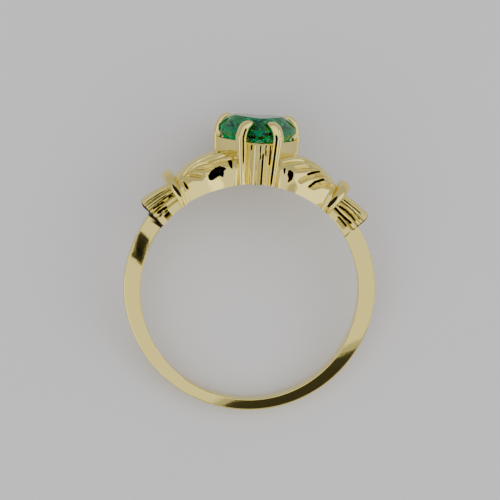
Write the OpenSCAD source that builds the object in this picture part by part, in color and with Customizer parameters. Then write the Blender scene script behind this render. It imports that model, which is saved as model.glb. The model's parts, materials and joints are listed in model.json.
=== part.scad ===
// Claddagh ring: two hands hold a crowned heart, lying on its side as it rests on a table.
// The ring is drawn upright first: +X to its right, +Y from the finger to the head, +Z along
// the finger. lying() then lays it down on the crown and on the far edge of the band.

/* [Finger] */
// Inner diameter of the band
finger_d = 17.3; // [15:0.1:22]

/* [Band] */
// Width of the band along the finger
band_w = 1.7; // [1.3:0.1:2.4]
// Thickness of the band beside the finger
band_side_t = 1.38; // [1.3:0.02:1.5]
// Thickness of the band behind the finger
band_back_t = 0.9; // [0.7:0.05:1.2]
// Bevel along the band's outer edges
band_bevel = 0.14; // [0.05:0.01:0.25]

/* [Sleeves] */
// Angle from the middle of the head to the collar end of a sleeve
sleeve_deg = 41.7; // [40:0.1:46]
// Length of a sleeve
sleeve_len = 2.35; // [1.6:0.05:3.2]
// Height of a sleeve over the finger, at its collar
sleeve_h = 2.02; // [1.7:0.02:2.3]
// Height of a sleeve over the finger, at its free end
sleeve_end_h = 2.38; // [1.9:0.02:2.8]
// Width of a sleeve along the finger, at its collar
sleeve_w = 3.1; // [2.6:0.1:3.6]
// Width of a sleeve along the finger, at its free end
sleeve_end_w = 3.7; // [2.8:0.1:4.2]
// Turn of a sleeve's straight sides away from the curve of the finger
sleeve_turn = 7.5; // [3:0.5:12]
// Depth of the flutes along a sleeve
flute_t = 0.16; // [0.08:0.01:0.22]

/* [Collars] */
// Height of the tall collar over the finger
collar_h = 2.95; // [2.7:0.05:3.3]
// Width of the tall collar along the finger
collar_w = 4.3; // [3.9:0.1:4.8]
// Thickness of the tall collar at the finger
collar_foot_t = 0.22; // [0.15:0.01:0.4]
// Lean of the collars towards the head
collar_lean = 18; // [12:1:22]
// Height of the low collar over the finger
low_collar_h = 2.32; // [2.15:0.02:2.6]
// Width of the low collar along the finger
low_collar_w = 3.7; // [3.4:0.1:3.9]
// Thickness of the low collar
low_collar_t = 0.62; // [0.45:0.01:0.8]

/* [Hands] */
// Height of a hand over the finger, at the wrist
wrist_h = 2.42; // [2.3:0.02:2.6]
// Height of a hand over the finger, at the palm
palm_h = 2.88; // [2.7:0.02:3.1]
// Height of a hand over the finger, at the finger tips
tips_h = 2.55; // [2.3:0.05:2.8]
// Width of a hand along the ring finger, at the wrist
wrist_w = 3.3; // [2.8:0.1:3.6]
// Width of a hand along the ring finger, at the finger tips
tips_w = 5.5; // [4.6:0.1:6]
// Distance from the middle of the head to the finger tips
tips_x = 1.85; // [1.7:0.05:2.2]
// How far the finger tips slant in towards the heart
tips_slant = 0.42; // [0.2:0.02:0.5]
// Depth of the lines between the fingers
finger_line_t = 0.17; // [0.08:0.01:0.22]
// Depth of the hollows pierced into a hand
hollow_t = 1.3; // [0.8:0.1:1.8]

/* [Stone] */
// Width of the heart stone
stone_w = 6.2; // [5.8:0.1:6.4]
// Length of the heart stone, from its tip to its lobes
stone_l = 6.22; // [5.8:0.02:6.4]
// Depth of the notch between the lobes
stone_notch = 0.9; // [0.6:0.05:1.2]
// Height of the stone above its girdle
stone_crown_h = 1.1; // [0.9:0.02:1.2]
// Depth of the stone below its girdle
stone_pavilion_h = 2.35; // [2:0.05:2.6]
// Thickness of the girdle
stone_girdle_t = 0.42; // [0.3:0.02:0.5]
// Height of the girdle over the finger
girdle_h = 4.09; // [4:0.01:4.3]
// Room between the stone and the gold
stone_gap = 0.05; // [0.03:0.01:0.08]

/* [Setting] */
// Height of the setting's rim over the finger
rim_h = 3.32; // [3.1:0.02:3.5]
// How far the rim's wall stands out past the stone
rim_out = 0.21; // [0.12:0.01:0.26]
// How far the setting draws in from the rim to the finger, at its widest
setting_taper = 0.3; // [0.2:0.05:0.6]
// Thickness of the setting's wall at the rim
setting_t = 0.55; // [0.4:0.05:0.7]
// Width of a prong
prong_w = 0.9; // [0.7:0.02:1]
// Thickness of a prong at the widest place of the stone
prong_t = 0.4; // [0.34:0.01:0.46]
// Thickness of a prong beside the tip of the stone
inner_prong_t = 0.85; // [0.7:0.01:0.9]
// How far the stone's edge is from the middle of the head where the inner prongs hold it
inner_prong_x = 1; // [0.9:0.02:1.2]
// Depth of the grooves down the front of the setting
groove_t = 0.28; // [0.15:0.01:0.35]

/* [Crown] */
// Length of the crown past the heart's lobes
crown_l = 2.6; // [2.2:0.1:3]
// Width across the crown's outer points
crown_w = 4.6; // [3.8:0.1:5]
// Thickness of the crown's band
crown_t = 1.4; // [1.1:0.05:1.8]
// Height of the crown's face over the finger
crown_h = 3.2; // [2.8:0.05:3.3]
// Radius of the beads on the crown's outer points
bead_r = 0.42; // [0.3:0.02:0.5]

/* [Hidden] */
$fn = 96;

finger_r = finger_d / 2;
sink = 0.35;          // how far the carved pieces reach into the finger hole before it is cut
over = 0.4;           // how far a cutting shape runs past what it cuts
bore_step = 0.02;     // how far the head's carving stays back from the true bore
crowning = 0.03;      // how far the middle of an end face stands proud of its edge
foot = 0.16;          // height of the upright foot of a shoulder piece
half = [-1, 1];

function arc_deg(length) = length / finger_r * 180 / PI;
function mix(a, b, t) = a + (b - a) * t;
function total(list, i = 0) = i < len(list) ? list[i] + total(list, i + 1) : list[0] * 0;
function middle(ring) = total(ring) / len(ring);

// The middle of an end of a loft, a little proud of its ring, as polished metal is
function crowned(ring, next) = let (way = middle(ring) - middle(next))
    middle(ring) + way / norm(way) * crowning;

// A closed solid through rings of points. Each ring turns anticlockwise about the way it travels.
module loft(rings) {
    n = len(rings[0]);
    last = len(rings) - 1;
    points = concat([for (ring = rings) each ring],
        [crowned(rings[0], rings[1]), crowned(rings[last], rings[last - 1])]);
    sides = [for (i = [0:last - 1]) for (j = [0:n - 1]) let (k = (j + 1) % n)
        each [[i * n + j, (i + 1) * n + j, (i + 1) * n + k], [i * n + j, (i + 1) * n + k, i * n + k]]];
    start = [for (j = [0:n - 1]) [(last + 1) * n, j, (j + 1) % n]];
    end = [for (j = [0:n - 1]) [(last + 1) * n + 1, last * n + (j + 1) % n, last * n + j]];
    polyhedron(points, concat(sides, start, end));
}

// A point of a shoulder piece: it stands on the finger hole at an angle from the head, on a line
// that leans at another angle, and lies z along the finger and h up that line.
function on_shoulder(deg, lean, z, h) =
    [finger_r * sin(deg) + h * sin(lean), finger_r * cos(deg) + h * cos(lean), z];

// An outline over an upright foot, half as wide as a and h high. A higher power makes it squarer.
function arch(a, h, power, n) = concat([[a, -sink]], [for (i = [0:n]) let (t = 180 * i / n)
    [a * sign(cos(t)) * pow(abs(cos(t)), 2 / power),
        foot + (h - foot) * pow(sin(t), 2 / power)]], [[-a, -sink]]);

// Band
module band_profile(inner_r, outer_r) {
    polygon([
        [inner_r, -band_w / 2],
        [outer_r - band_bevel, -band_w / 2],
        [outer_r, -band_w / 2 + band_bevel],
        [outer_r, band_w / 2 - band_bevel],
        [outer_r - band_bevel, band_w / 2],
        [inner_r, band_w / 2]
    ]);
}

side_r = finger_r + band_side_t;
back_r = finger_r + band_back_t;
// The thin back comes from a second circle that passes through both sides and the back.
lifted_r = (side_r * side_r / back_r + back_r) / 2;
lift = lifted_r - back_r;

module band() {
    reach = 2 * lifted_r;
    hidden_deg = sleeve_deg + arc_deg(sleeve_len / 2);
    difference() {
        union() {
            difference() {
                intersection() {
                    rotate_extrude($fn = 180) band_profile(finger_r - over, side_r);
                    translate([0, lift, 0]) rotate_extrude($fn = 180) band_profile(0, lifted_r);
                }
                // The head takes the band's place from one sleeve to the other.
                translate([0, 0, -band_w]) linear_extrude(2 * band_w) polygon([
                    [0, 0],
                    [-reach * tan(hidden_deg), reach],
                    [reach * tan(hidden_deg), reach]
                ]);
            }
            // Only a thin lining of it runs on through the head, all round the finger.
            cylinder(h = band_w, r = finger_r + band_back_t / 3, center = true, $fn = 180);
        }
        cylinder(h = 2 * band_w, r = finger_r, center = true, $fn = 180);
        open_back(3 * bore_step);
    }
}

// Sleeve
flutes = 16;
points_a_flute = 4;
sleeve_end_deg = sleeve_deg + arc_deg(sleeve_len * 0.92);

function fluted(a, h) = let (n = flutes * points_a_flute) [for (i = [0:n]) let (
        t = 180 * i / n,
        keep = 1 - flute_t / h * (0.5 - 0.5 * cos(360 * i / points_a_flute)))
    [keep * a * sign(cos(t)) * pow(abs(cos(t)), 0.45),
        foot + keep * (h - foot) * pow(sin(t), 0.45)]];

function sleeve_ring(deg, lean, w, h) = concat(
    [on_shoulder(deg, lean, w / 2, -sink)],
    [for (p = fluted(w / 2, h)) on_shoulder(deg, lean, p[0], p[1])],
    [on_shoulder(deg, lean, -w / 2, -sink)]);

module sleeve() {
    hidden_deg = arc_deg(collar_foot_t);
    loft([
        sleeve_ring(sleeve_end_deg, sleeve_end_deg - sleeve_turn, sleeve_end_w, sleeve_end_h),
        sleeve_ring(sleeve_deg - hidden_deg, sleeve_deg, sleeve_w, sleeve_h)
    ]);
}

// Collars
// Share along the collar's thickness, and the share of its full height and width there
COLLAR_ROUND = [[0, 0.84], [0.14, 0.93], [0.36, 0.99], [0.6, 1], [0.84, 0.96], [1, 0.88]];

module collar(deg, foot_deg, lean, turn, w, h) {
    loft([for (row = COLLAR_ROUND) let (share = row[0], size = row[1])
        [for (p = arch(w / 2 * size, h * size, 2.6, 22))
            on_shoulder(deg - share * foot_deg, lean - share * turn, p[0], p[1])]]);
}

module tall_collar() {
    collar(sleeve_deg, arc_deg(collar_foot_t), sleeve_deg, collar_lean, collar_w, collar_h);
}

low_collar_deg = sleeve_deg - arc_deg(collar_foot_t * 0.8);
low_lean = sleeve_deg - collar_lean - 1;

module low_collar() {
    collar(low_collar_deg, arc_deg(low_collar_t), low_lean, 2, low_collar_w, low_collar_h);
}

// Hand
wrist_deg = low_collar_deg - arc_deg(low_collar_t * 0.75);
tips_deg = asin(tips_x / finger_r);
fingers = 4;
HAND_STEPS = 8;

// Up the back of the hand: from the wrist over the palm to the finger tips
function hand_h(t) = t < 0.6 ? mix(wrist_h, palm_h, sin(90 * t / 0.6))
    : mix(palm_h, tips_h, 1 - cos(90 * (t - 0.6) / 0.4));
function hand_w(t) = mix(wrist_w, tips_w, sin(90 * t));
function hand_deg(t) = mix(wrist_deg, tips_deg, t);
function hand_lean(t) = mix(low_lean, 0, t);
// The lines fan out over the back of the hand and fade towards the wrist and the foot.
function finger_line(share, t) = finger_line_t * min(1, 0.1 + 1.8 * t)
    * min(1, 3 * max(0, sin(180 * share) - 0.3))
    * pow(0.5 + 0.5 * cos(360 * (fingers * (share - 0.5) + 0.3 * t)), 2);

function hand_ring(deg, lean, w, h, t) = let (outline = arch(w / 2, h, 3, 30), n = len(outline) - 1)
    [for (i = [0:n]) let (keep = 1 - 2 * finger_line(i / n, t) / h)
        on_shoulder(deg, lean, outline[i][0] * keep, outline[i][1] * keep)];

module hand() {
    steps = [for (i = [0:HAND_STEPS]) i / HAND_STEPS];
    loft(concat(
        [for (t = steps) hand_ring(hand_deg(t), hand_lean(t), hand_w(t), hand_h(t), t)],
        // the finger tips slant in towards the heart
        [hand_ring(tips_deg - arc_deg(tips_slant), 0, tips_w - 3 * tips_slant, tips_h * 0.96, 1)]));
}

// Heart outline, seen down on the stone: a lobe circle and a long side arc that runs on from it
lobe_r = stone_w / 2 + stone_notch - sqrt(stone_w * stone_notch);
lobe_x = stone_w / 2 - lobe_r;
lobe_z = -stone_l / 2 + lobe_r;
side_arc_r = 2 * stone_w;
tip_z = stone_l / 2;
tip_from_lobe = norm([lobe_x, tip_z - lobe_z]);
lobe_from_side = side_arc_r - lobe_r;
arc_turn = acos((pow(lobe_from_side, 2) + pow(tip_from_lobe, 2) - pow(side_arc_r, 2))
    / (2 * lobe_from_side * tip_from_lobe));
arc_dir = 180 - atan((tip_z - lobe_z) / lobe_x) + arc_turn;
arc_x = lobe_x + lobe_from_side * cos(arc_dir);
arc_z = lobe_z + lobe_from_side * sin(arc_dir);
join_deg = arc_dir - 180;

function tip_deg(out) = acos(-arc_x / (side_arc_r + out));
function notch_deg(out) = -acos(-lobe_x / (lobe_r + out));

// Half of the outline, from the tip at 0 to the notch at 1, moved out by a distance
function heart_half(s, out) = s < 0.5
    ? let (a = mix(tip_deg(out), join_deg, s * 2), r = side_arc_r + out)
        [arc_x + r * cos(a), arc_z + r * sin(a)]
    : let (a = mix(join_deg, notch_deg(out), s * 2 - 1), r = lobe_r + out)
        [lobe_x + r * cos(a), lobe_z + r * sin(a)];

// The whole outline at height y, with 2 n points, drawn in by a share of its size
function heart_ring(n, y, size = 1, out = 0, turn = 0) = [for (i = [0:2 * n - 1]) let (
        s = (i + turn) / n,
        p = heart_half(s <= 1 ? s : 2 - s, out))
    [(s <= 1 ? 1 : -1) * size * p[0], y, size * p[1]]];

// Stone
girdle_y = finger_r + girdle_h;
mains = 6;            // main facets a side
TABLE_SIZE = 0.65;
STAR_SIZE = 0.83;     // the ring of points between the star and the main facets
STAR_RISE = 0.62;
LOW_SIZE = 0.82;      // the ring of points on the pavilion
LOW_DROP = 0.38;

module heart_stone() {
    n = 2 * mains;
    half_girdle = stone_girdle_t / 2;
    table = heart_ring(mains, girdle_y + stone_crown_h, TABLE_SIZE);
    stars = heart_ring(mains, girdle_y + stone_crown_h * STAR_RISE, STAR_SIZE, 0, 0.5);
    upper = heart_ring(n, girdle_y + half_girdle);
    lower = heart_ring(n, girdle_y - half_girdle);
    lows = heart_ring(mains, girdle_y - stone_pavilion_h * LOW_DROP, LOW_SIZE, 0, 0.5);
    points = concat(table, stars, upper, lower, lows,
        [[0, girdle_y + stone_crown_h, 0], [0, girdle_y - stone_pavilion_h, 0]]);
    t = 0;
    m = n;
    u = 2 * n;
    l = 4 * n;
    w = 6 * n;
    top = 7 * n;
    culet = top + 1;
    faces = [for (i = [0:n - 1]) let (
            j = (i + 1) % n,
            h = (i + n - 1) % n,
            g = 2 * i,
            g1 = 2 * i + 1,
            g2 = (2 * i + 2) % (2 * n))
        each [
            [top, t + j, t + i],
            [t + i, t + j, m + i],
            [t + i, u + g, m + h],
            [t + i, m + i, u + g],
            [m + i, u + g1, u + g],
            [m + i, u + g2, u + g1],
            [u + g, u + g1, l + g1],
            [u + g, l + g1, l + g],
            [u + g1, u + g2, l + g2],
            [u + g1, l + g2, l + g1],
            [w + i, l + g, l + g1],
            [w + i, l + g1, l + g2],
            [culet, w + h, l + g],
            [culet, l + g, w + i]
        ]];
    color("green") lying() polyhedron(points, faces);
}

// Setting
rim_y = finger_r + rim_h;
setting_points = 22;
foot_size = 1 - setting_taper / (stone_w / 2);

module basket() {
    bevel = rim_out * 0.45;
    loft([
        heart_ring(setting_points, finger_r - over, foot_size, rim_out),
        heart_ring(setting_points, rim_y - bevel, 1, rim_out),
        heart_ring(setting_points, rim_y, 1, rim_out - bevel)
    ]);
}

rim_hole = 1 - setting_t / (stone_w / 2);

module open_back(room = 0) {
    loft([
        heart_ring(setting_points, finger_r - over, rim_hole * foot_size, room),
        heart_ring(setting_points, rim_y + over, rim_hole * 1.02, room)
    ]);
}

// Prongs: each follows a line that climbs the setting and bends over the stone. A row gives how
// far its middle is past the room round the stone, its height over the rim, its thickness and its
// width, as shares of the prong's thickness, of the height to the table, of the thickness and of
// the width.
table_over_rim = girdle_h + stone_crown_h - rim_h;
PRONG_FOOT = [0.75, 0.72];
OUTER_CLAW = [
    [0.25, 0, 1, 1],
    [0.2, 0.28, 1, 1],
    [0.06, 0.45, 1, 0.98],
    [-0.15, 0.586, 1, 0.96],
    [-0.6, 0.77, 1, 0.92],
    [-1.2, 0.89, 0.98, 0.86],
    [-1.75, 0.93, 0.95, 0.8],
    [-2.4, 0.925, 0.85, 0.72],
    [-2.65, 0.915, 0.5, 0.5]
];
INNER_CLAW = [
    [0.5, 0, 1, 0.84],
    [0.49, 0.25, 1, 0.84],
    [0.35, 0.47, 0.97, 0.84],
    [0.2, 0.62, 0.9, 0.84],
    [-0.06, 0.735, 0.66, 0.84],
    [-0.34, 0.77, 0.5, 0.8],
    [-0.55, 0.75, 0.38, 0.7],
    [-0.62, 0.74, 0.22, 0.45]
];
CLAW_SIDES = 10;

// A ring of a prong: out and y place its middle, lean is its turn from upright
function prong_ring(at, normal, out, y, lean, w, t) =
    let (across = [normal[1], 0, -normal[0]],
        outward = [normal[0] * cos(lean), sin(lean), normal[1] * cos(lean)])
    [for (i = [0:CLAW_SIDES - 1]) let (a = 360 * i / CLAW_SIDES)
        [at[0] + normal[0] * out, y, at[1] + normal[1] * out]
            + outward * (t / 2 * sign(cos(a)) * pow(abs(cos(a)), 0.7))
            + across * (w / 2 * sign(sin(a)) * pow(abs(sin(a)), 0.7))];

module prong(at, normal, t, claw) {
    n = len(claw);
    line = concat(
        [[stone_gap + claw[0][0] * t - setting_taper, finger_r - over / 2, PRONG_FOOT[0],
            PRONG_FOOT[1] * claw[0][3]]],
        [for (row = claw) [stone_gap + row[0] * t, rim_y + row[1] * table_over_rim, row[2], row[3]]]);
    loft([for (i = [0:n]) let (
            before = line[max(0, i - 1)],
            after = line[min(n, i + 1)],
            lean = atan2(before[0] - after[0], after[1] - before[1]))
        prong_ring(at, normal, line[i][0], line[i][1], lean, prong_w * line[i][3], t * line[i][2])]);
}

inner_z = arc_z + sqrt(pow(side_arc_r, 2) - pow(inner_prong_x - arc_x, 2));
inner_turn = 26;      // turn of the inner prongs from the head's cross line

module prong_pair() {
    // beside the tip
    prong([inner_prong_x, inner_z], [cos(inner_turn), sin(inner_turn)], inner_prong_t, INNER_CLAW);
    // at the widest place of the heart
    prong([stone_w / 2, lobe_z], [1, 0], prong_t, OUTER_CLAW);
}

room_points = 24;

// The room round the stone, which notches the prongs for its girdle
module stone_room() {
    half_girdle = stone_girdle_t / 2;
    table_y = girdle_y + stone_crown_h;
    low_y = girdle_y - stone_pavilion_h * LOW_DROP;
    loft([
        heart_ring(room_points, low_y, LOW_SIZE, stone_gap),
        heart_ring(room_points, girdle_y - half_girdle - stone_gap / 2, 1, stone_gap),
        heart_ring(room_points, girdle_y + half_girdle + stone_gap / 2, 1, stone_gap),
        heart_ring(room_points, girdle_y + stone_crown_h * STAR_RISE + stone_gap, STAR_SIZE,
            stone_gap),
        heart_ring(room_points, table_y + stone_gap, TABLE_SIZE, stone_gap),
        heart_ring(room_points, table_y + over, TABLE_SIZE, stone_gap)
    ]);
}

// Grooves down the front of the setting: place across the head as a share of half the stone's
// width, share of the full depth, share of the height from the rim that each runs down
GROOVES = [[-0.18, 0.5, 0.3], [-0.05, 0.45, 0.35], [0.09, 1, 1], [0.19, 0.7, 0.45], [0.28, 0.6, 0.6]];
front_lean = atan((1 - foot_size) * tip_z / (rim_h + over));

module grooves() {
    wall_r = side_arc_r + rim_out;
    for (row = GROOVES) {
        x = row[0] * stone_w / 2;
        wall_z = arc_z + sqrt(pow(wall_r, 2) - pow(abs(x) - arc_x, 2));
        side = groove_t * row[1] * sqrt(2);
        translate([x, rim_y - rim_h * 0.02, wall_z]) rotate([90 + front_lean, 0, 0])
            rotate([0, 0, 45])
                translate([-side / 2, -side / 2, 0])
                    cube([side, side, (rim_h + over) * row[2]]);
    }
}

// Hollows pierced into the front of the hands. A point's numbers are its share of the way from the
// wrist to the finger tips, and its height over the finger as a share of the palm's.
LEFT_HOLLOWS = [
    [[0.5, 0.45], [0.55, 0.54], [0.64, 0.61], [0.73, 0.63], [0.82, 0.56], [0.85, 0.52],
        [0.8, 0.47], [0.79, 0.3], [0.72, 0.37], [0.66, 0.35], [0.57, 0.3], [0.51, 0.35]],
    [[0.88, 0.7], [0.93, 0.72], [0.96, 0.67], [0.96, 0.48], [0.93, 0.51], [0.89, 0.62]]
];
RIGHT_HOLLOWS = [
    [[0.89, 0.43], [0.88, 0.53], [0.85, 0.58], [0.78, 0.54], [0.77, 0.45], [0.79, 0.33],
        [0.86, 0.22], [0.87, 0.25], [0.86, 0.34]],
    [[0.97, 0.55], [0.93, 0.6], [0.93, 0.47], [0.95, 0.4]]
];

module hollows(outlines) {
    translate([0, 0, tips_w / 2 - hollow_t]) linear_extrude(hollow_t + over)
        for (outline = outlines)
            polygon([for (p = outline) let (
                    at = on_shoulder(hand_deg(p[0]), hand_lean(p[0]), 0, p[1] * palm_h))
                [at[0], at[1]]]);
}

// Crown, past the lobes
bead_z = -stone_l / 2 - crown_l + bead_r;
bead_y = finger_r + crown_h - crown_t / 2;
bead_x = crown_w / 2 - bead_r;

// Halves of the outlines of the crown's band and of its points: share of its half width, share of
// its length past the lobes
BAND_HALF = [[0.56, -0.55], [0.7, 0.12], [0.74, 0.4]];
POINTS_HALF = [[0.6, 0.1], [0.68, 0.4], [0.93, 0.72], [0.74, 0.8], [0.5, 0.54], [0.38, 0.52],
    [0.13, 0.88]];
point_share = 0.52;   // thickness of the points as a share of the band's

module crown_plate(outline, t) {
    last = len(outline) - 1;
    right = [for (p = outline) [p[0] * crown_w / 2, -stone_l / 2 - p[1] * crown_l]];
    left = [for (i = [0:last]) [-right[last - i][0], right[last - i][1]]];
    translate([0, bead_y, 0]) rotate([90, 0, 0]) linear_extrude(t, center = true)
        polygon(concat(right, left));
}

module crown() {
    crown_plate(BAND_HALF, crown_t);
    crown_plate(POINTS_HALF, crown_t * point_share);
    for (side = half)
        translate([side * bead_x, bead_y, bead_z]) sphere(bead_r, $fn = 16);
    // the middle bead stands a little back, so that the outer two carry the ring
    translate([0, bead_y, bead_z + bead_r / 4]) sphere(bead_r, $fn = 16);
}

// Rest: the crown's outer beads and the far edge of the band's back lie on the table
back_edge = [-back_r + band_bevel, -band_w / 2];
rise = norm([bead_y - back_edge[0], back_edge[1] - bead_z]);
rest_tilt = atan((back_edge[1] - bead_z) / (bead_y - back_edge[0])) + asin(bead_r / rise);
rest_lift = bead_r - bead_y * sin(rest_tilt) - bead_z * cos(rest_tilt);
far_y = (finger_r + girdle_h + stone_crown_h) * cos(rest_tilt) - lobe_z * sin(rest_tilt);
near_y = -back_r * cos(rest_tilt) - band_w / 2 * sin(rest_tilt);
rest_shift = -(far_y + near_y) / 2;

module lying() {
    translate([0, rest_shift, rest_lift]) rotate([rest_tilt, 0, 0]) children();
}

// The head, from one sleeve to the other. A resize that keeps every size makes it one mesh.
module head() {
    resize([0, 0, 0]) difference() {
        union() {
            for (side = [0, 1]) mirror([side, 0, 0]) {
                sleeve();
                tall_collar();
                low_collar();
                hand();
                prong_pair();
            }
            basket();
            crown();
        }
        open_back();
        stone_room();
        grooves();
        mirror([1, 0, 0]) hollows(LEFT_HOLLOWS);
        hollows(RIGHT_HOLLOWS);
        cylinder(h = 4 * tips_w, r = finger_r + bore_step, center = true, $fn = 120);
    }
}

module gold_ring() {
    color("khaki") lying() {
        band();
        head();
    }
}

gold_ring();
heart_stone();
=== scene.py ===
"""A claddagh ring in polished yellow gold with a green heart stone, lying on its side on a pale floor.

The ring is modelled upright and in millimetres: X to its right, Y from the finger to the head and
Z along the finger. Each finished piece is then laid down as the ring rests.
"""
import json
import math

import bmesh
import bpy
import numpy as np
from bpy.props import FloatProperty, FloatVectorProperty, PointerProperty
from bpy.types import Operator, Panel, PropertyGroup
from mathutils import Matrix, Vector


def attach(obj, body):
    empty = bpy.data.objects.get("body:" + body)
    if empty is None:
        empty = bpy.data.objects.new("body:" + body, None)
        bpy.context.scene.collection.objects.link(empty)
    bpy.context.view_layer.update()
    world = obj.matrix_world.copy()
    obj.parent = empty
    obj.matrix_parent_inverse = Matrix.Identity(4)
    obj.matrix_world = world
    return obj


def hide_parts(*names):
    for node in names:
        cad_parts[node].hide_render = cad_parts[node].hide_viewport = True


bl_info = {
    "name": "Claddagh Ring",
    "version": (1, 0, 0),
    "blender": (4, 5, 0),
    "location": "View3D > Sidebar > Ring",
    "description": "Models a claddagh ring piece by piece and sets its stage",
    "category": "Add Mesh",
}

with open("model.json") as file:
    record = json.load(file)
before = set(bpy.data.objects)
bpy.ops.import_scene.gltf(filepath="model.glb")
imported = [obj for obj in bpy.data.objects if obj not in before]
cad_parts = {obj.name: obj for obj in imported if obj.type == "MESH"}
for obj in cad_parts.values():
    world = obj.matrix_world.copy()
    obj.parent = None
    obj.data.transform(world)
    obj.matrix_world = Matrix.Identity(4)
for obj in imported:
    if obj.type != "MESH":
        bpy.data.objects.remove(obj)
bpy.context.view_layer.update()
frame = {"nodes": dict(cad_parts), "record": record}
bore = frame["record"]["mounts"][0]
FINGER_R = bore["dims"]["r_mm"]
BORE_AXIS = Vector(bore["axis"])
MM = 0.001
TO_MM = 1000
REST_TILT = math.atan2(-BORE_AXIS.y, BORE_AXIS.z)
LYING = (Matrix.Translation(Vector(bore["pos_m"])) @ Matrix.Rotation(REST_TILT, 4, "X")
         @ Matrix.Scale(MM, 4))
SIDES = {-1: "left", 1: "right"}


def size_of(name, description, millimetres):
    """A length that a user can change, kept in metres"""
    return FloatProperty(name=name, description=description, default=millimetres * MM,
                         min=0, unit="LENGTH", subtype="DISTANCE")


def shade_of(name, description, colour):
    """A colour that a user can change"""
    return FloatVectorProperty(name=name, description=description, default=colour, size=3,
                               min=0, max=1, subtype="COLOR")


class RingSizes(PropertyGroup):
    """Sizes of the ring"""
    band_w: size_of("Band Width", "Width of the band along the finger", 1.7)
    band_side_t: size_of("Band Side", "Thickness of the band beside the finger", 1.38)
    band_back_t: size_of("Band Back", "Thickness of the band behind the finger", 0.9)
    band_round: size_of("Band Edge", "Rounding of the band's outer edges", 0.11)
    sleeve_len: size_of("Sleeve Length", "Length of a sleeve", 2.35)
    sleeve_h: size_of("Sleeve Height", "Height of a sleeve at its collar", 2.02)
    sleeve_end_h: size_of("Sleeve End Height", "Height of a sleeve at its free end", 2.56)
    sleeve_w: size_of("Sleeve Width", "Width of a sleeve at its collar", 3.1)
    sleeve_end_w: size_of("Sleeve End Width", "Width of a sleeve at its free end", 3.7)
    flute_t: size_of("Flute Depth", "Depth of the flutes along a sleeve", 0.16)
    collar_h: size_of("Collar Height", "Height of the tall collar", 2.95)
    collar_w: size_of("Collar Width", "Width of the tall collar", 4.3)
    collar_foot_t: size_of("Collar Foot", "Thickness of the tall collar at the finger", 0.22)
    low_collar_h: size_of("Low Collar Height", "Height of the low collar", 2.32)
    low_collar_w: size_of("Low Collar Width", "Width of the low collar", 3.7)
    low_collar_t: size_of("Low Collar Thickness", "Thickness of the low collar", 0.62)
    wrist_h: size_of("Wrist Height", "Height of a hand at its wrist", 2.42)
    palm_h: size_of("Palm Height", "Height of a hand at its palm", 2.88)
    tips_h: size_of("Tips Height", "Height of a hand at its finger tips", 2.55)
    wrist_w: size_of("Wrist Width", "Width of a hand at its wrist", 3.3)
    tips_w: size_of("Tips Width", "Width of a hand at its finger tips", 5.5)
    tips_x: size_of("Tips Place", "From the middle of the head to the finger tips", 1.85)
    tips_slant: size_of("Tips Slant", "How far the finger tips slant in to the heart", 0.42)
    finger_t: size_of("Finger Lines", "Depth of the lines between the fingers", 0.22)
    hollow_t: size_of("Hollows", "Depth of the hollows in a hand", 1.3)
    stone_w: size_of("Stone Width", "Width of the heart stone", 6.2)
    stone_l: size_of("Stone Length", "Length of the heart stone", 6.22)
    stone_notch: size_of("Stone Notch", "Depth of the notch between the lobes", 0.9)
    stone_crown_h: size_of("Stone Crown", "Height of the stone above its girdle", 1.1)
    stone_pavilion_h: size_of("Stone Pavilion", "Depth of the stone below its girdle", 2.35)
    stone_girdle_t: size_of("Stone Girdle", "Thickness of the stone's girdle", 0.42)
    stone_gap: size_of("Stone Room", "Room between the stone and the gold", 0.05)
    girdle_h: size_of("Girdle Height", "Height of the girdle over the finger", 4.09)
    rim_h: size_of("Rim Height", "Height of the setting's rim", 3.32)
    rim_out: size_of("Rim Stand", "How far the rim stands out past the stone", 0.21)
    setting_taper: size_of("Setting Taper", "How far the setting draws in to the finger", 0.3)
    setting_t: size_of("Setting Wall", "Thickness of the setting's wall", 0.55)
    prong_w: size_of("Prong Width", "Width of a prong", 0.9)
    prong_t: size_of("Prong Thickness", "Thickness of an outer prong", 0.4)
    inner_prong_t: size_of("Inner Prong Thickness", "Thickness of an inner prong", 0.85)
    inner_prong_x: size_of("Inner Prongs", "Inner prongs from the middle", 1.0)
    crown_l: size_of("Crown Length", "Length of the crown past the lobes", 2.6)
    crown_w: size_of("Crown Width", "Width across the crown's points", 4.6)
    crown_t: size_of("Crown Thickness", "Thickness of the crown's band", 1.4)
    crown_h: size_of("Crown Height", "Height of the crown's face", 3.2)
    bead_r: size_of("Crown Beads", "Radius of the crown's beads", 0.42)


class RingColours(PropertyGroup):
    """Colours of the ring and its stage"""
    gold: shade_of("Gold", "Polished yellow gold", (0.87, 0.735, 0.22))
    # painted shade: the near black painted where shade falls in grooves, hollows, slots and seams
    recess: shade_of("Recess", "Shade at the bottom of the carving", (0.02, 0.015, 0.010))
    stone: shade_of("Stone", "Body of the green stone", (0.0, 0.36, 0.11))
    floor: shade_of("Floor", "Pale studio floor", (0.80, 0.79, 0.78))


def mm(name):
    """A size of the ring in millimetres"""
    return getattr(bpy.context.scene.ring_sizes, name) * TO_MM


def colour(name):
    """A colour of the ring with full alpha"""
    return (*getattr(bpy.context.scene.ring_colours, name), 1.0)


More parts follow.
